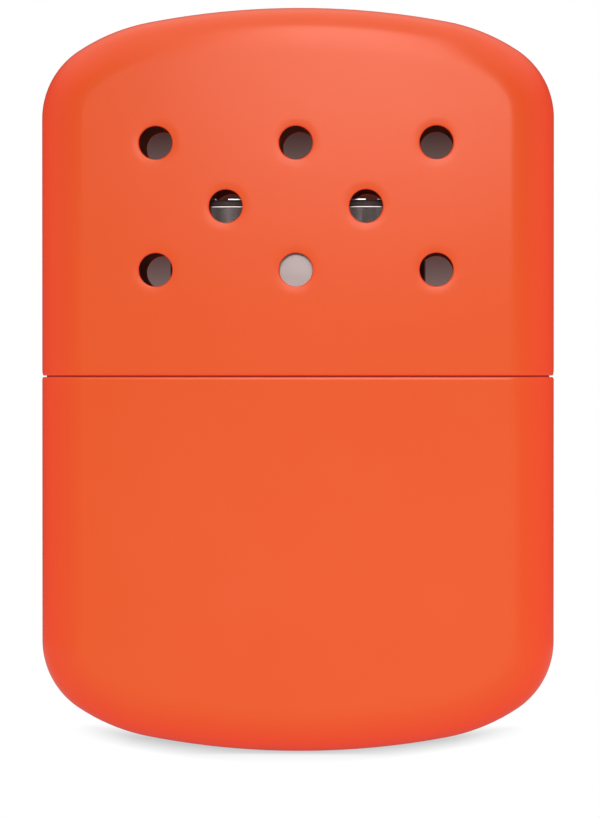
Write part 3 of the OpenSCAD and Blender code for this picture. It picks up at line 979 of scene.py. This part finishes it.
def make_world():
    """Even light, more of it from the sides. A reflection sees a dim room, and white above."""
    world = bpy.data.worlds.new("world")
    bpy.context.scene.world = world
    tree = empty_tree(world)
    way = split(tree, add_node(tree, "ShaderNodeTexCoord").outputs["Generated"])
    forward = math_value(tree, "ABSOLUTE", way["Y"], 0)
    around = spread(tree, forward, SIDE_LIGHT, WORLD_LIGHT, *SIDE_TURN)
    room = spread(tree, way["Z"], ROOM_LIGHT, 1, *ROOM_TURN)
    rays = add_node(tree, "ShaderNodeLightPath")
    white = math_value(tree, "MAXIMUM", rays.outputs["Is Camera Ray"], room)
    lights = []
    for strength in (around, white):
        light = add_node(tree, "ShaderNodeBackground", Color=(1, 1, 1, 1))
        tree.links.new(strength, light.inputs["Strength"])
        lights.append(light.outputs[0])
    surface = mixed_shader(tree, seen_directly(tree), *lights)
    out = add_node(tree, "ShaderNodeOutputWorld")
    tree.links.new(surface, out.inputs["Surface"])


def stage_plane(name, material, corners, body=None):
    mesh = bpy.data.meshes.new(name)
    mesh.from_pydata(corners, [], [(0, 1, 2, 3)])
    mesh.materials.append(material)
    plane = bpy.data.objects.new(name, mesh)
    bpy.context.scene.collection.objects.link(plane)
    if body:
        plane.parent = frame["bodies"][body]
    return plane


def shadow_limit(tree, where):
    """How light the floor at least is: it stays white in front of the object and beside it."""
    place = split(tree, where)
    beside = math_value(tree, "SUBTRACT", place["X"], SHADOW_MIDDLE)
    beside = math_value(tree, "ABSOLUTE", beside, 0)
    bow = math_value(tree, "MULTIPLY", math_value(tree, "POWER", beside, 2), SHADOW_BOW)
    back = math_value(tree, "SUBTRACT", place["Y"], bow)
    behind = spread(tree, back, 0, 1, *SHADOW_FRONT)
    between = spread(tree, beside, SHADOW_DEPTH, 0, *SHADOW_SIDE)
    return math_value(tree, "SUBTRACT", 1, math_value(tree, "MULTIPLY", behind, between))


def make_floor():
    """A white floor with a faint grey shadow where the object closes it in."""
    material = bpy.data.materials.new("floor")
    tree = empty_tree(material)
    where = surface_place(tree)
    openness = add_node(tree, "ShaderNodeAmbientOcclusion", Distance=SHADOW_REACH)
    lean = add_node(tree, "ShaderNodeCombineXYZ")
    for socket, part in zip(lean.inputs, SHADOW_LEAN):
        socket.default_value = part
    tree.links.new(lean.outputs[0], openness.inputs["Normal"])
    shade = spread(tree, openness.outputs["AO"], SHADOW_GREY, 1, *SHADOW_OPEN)
    seen = math_value(tree, "MAXIMUM", shade, shadow_limit(tree, where))
    rays = add_node(tree, "ShaderNodeLightPath")
    seen = math_value(tree, "MULTIPLY", seen, rays.outputs["Is Camera Ray"])
    distance = add_node(tree, "ShaderNodeVectorMath", operation="LENGTH")
    tree.links.new(where, distance.inputs[0])
    near = spread(tree, distance.outputs["Value"], FLOOR_GLOSS, ROOM_LIGHT, *FLOOR_GLOSS_FADE)
    mirrored = math_value(tree, "MULTIPLY", openness.outputs["AO"], near)
    shown = add_node(tree, "ShaderNodeEmission")
    tree.links.new(math_value(tree, "MAXIMUM", seen, mirrored), shown.inputs["Strength"])
    even = add_node(tree, "ShaderNodeEmission", Strength=FLOOR_LIGHT)
    surface = mixed_shader(tree, seen_directly(tree), even.outputs[0], shown.outputs[0])
    out = add_node(tree, "ShaderNodeOutputMaterial")
    tree.links.new(surface, out.inputs["Surface"])
    corners = [(x * FLOOR_SIZE, y * FLOOR_SIZE, 0) for x, y in SQUARE]
    stage_plane("floor", material, corners)


def make_vent_card():
    """A dark card close behind the lid, which shows only from the front, through the vents: painted
    shade, for the shaded space that the back vents look into.
    """
    material = bpy.data.materials.new("card")
    tree = empty_tree(material)
    height = split(tree, surface_place(tree))["Z"]
    reach = VENT_PITCH_Z + VENT_R
    share = spread(tree, height, 0, 1, VENT_MIDDLE_Z - reach, VENT_MIDDLE_Z + reach)
    ramp = add_node(tree, "ShaderNodeValToRGB")
    tree.links.new(share, ramp.inputs["Fac"])
    stops = ramp.color_ramp.elements
    for k, (at, colour) in enumerate(CARD_SHADE_STOPS):
        stop = stops[k] if k < len(stops) else stops.new(at)
        stop.position = at
        stop.color = (*colour, 1)
    painted_shade = add_node(tree, "ShaderNodeEmission")
    tree.links.new(ramp.outputs["Color"], painted_shade.inputs["Color"])
    clear = add_node(tree, "ShaderNodeBsdfTransparent")
    side = add_node(tree, "ShaderNodeNewGeometry")
    surface = mixed_shader(tree, side.outputs["Backfacing"], painted_shade.outputs[0], clear.outputs[0])
    out = add_node(tree, "ShaderNodeOutputMaterial")
    tree.links.new(surface, out.inputs["Surface"])

    back = CASE_T / 2 + CARD_GAP
    corners = [(x * CARD_W / 2, back, VENT_MIDDLE_Z + z * CARD_H / 2) for x, z in SQUARE]
    card = stage_plane("vent_card", material, corners, "lid")
    card.visible_diffuse = card.visible_shadow = False


def gloss_light(name, low, high, width, power, pieces):
    """A leaning softbox that gives only gloss, and only to the pieces named."""
    across = high - low
    lamp = area_light(name, (low + high) / 2, (width, across.length), power)
    lamp.rotation_euler = across.cross((1, 0, 0)).to_track_quat("-Z", "Y").to_euler()
    lamp.visible_diffuse = False
    lit = bpy.data.collections.new(f"{name}_lit")
    for piece in pieces:
        lit.objects.link(bpy.data.objects[piece])
    lamp.light_linking.receiver_collection = lit


def make_lights():
    """A softbox for the paint, a higher one for the plated edges, and a low fill without gloss."""
    painted = ("tank_case", "lid_case", "burner_wall")
    gloss_light("softbox", PAINT_LAMP, LAMP_TOP, PAINT_LAMP_W, PAINT_LAMP_POWER, painted)
    plate = ("bezel_frame", "guard_cover")
    gloss_light("edge_light", PLATE_LAMP, LAMP_TOP, PLATE_LAMP_W, PLATE_LAMP_POWER, plate)
    fill = area_light("fill", FILL_LAMP, FILL_SIZE, FILL_POWER)
    inwards = Vector((-FILL_LAMP.x, -FILL_LAMP.y, 0))
    fill.rotation_euler = inwards.to_track_quat("-Z", "Y").to_euler()
    fill.visible_glossy = False


make_cases()
make_plated_pieces()
make_soft_pieces()
make_camera()
make_world()
make_floor()
make_vent_card()
make_lights()

bpy.context.scene.view_settings.view_transform = "Standard"
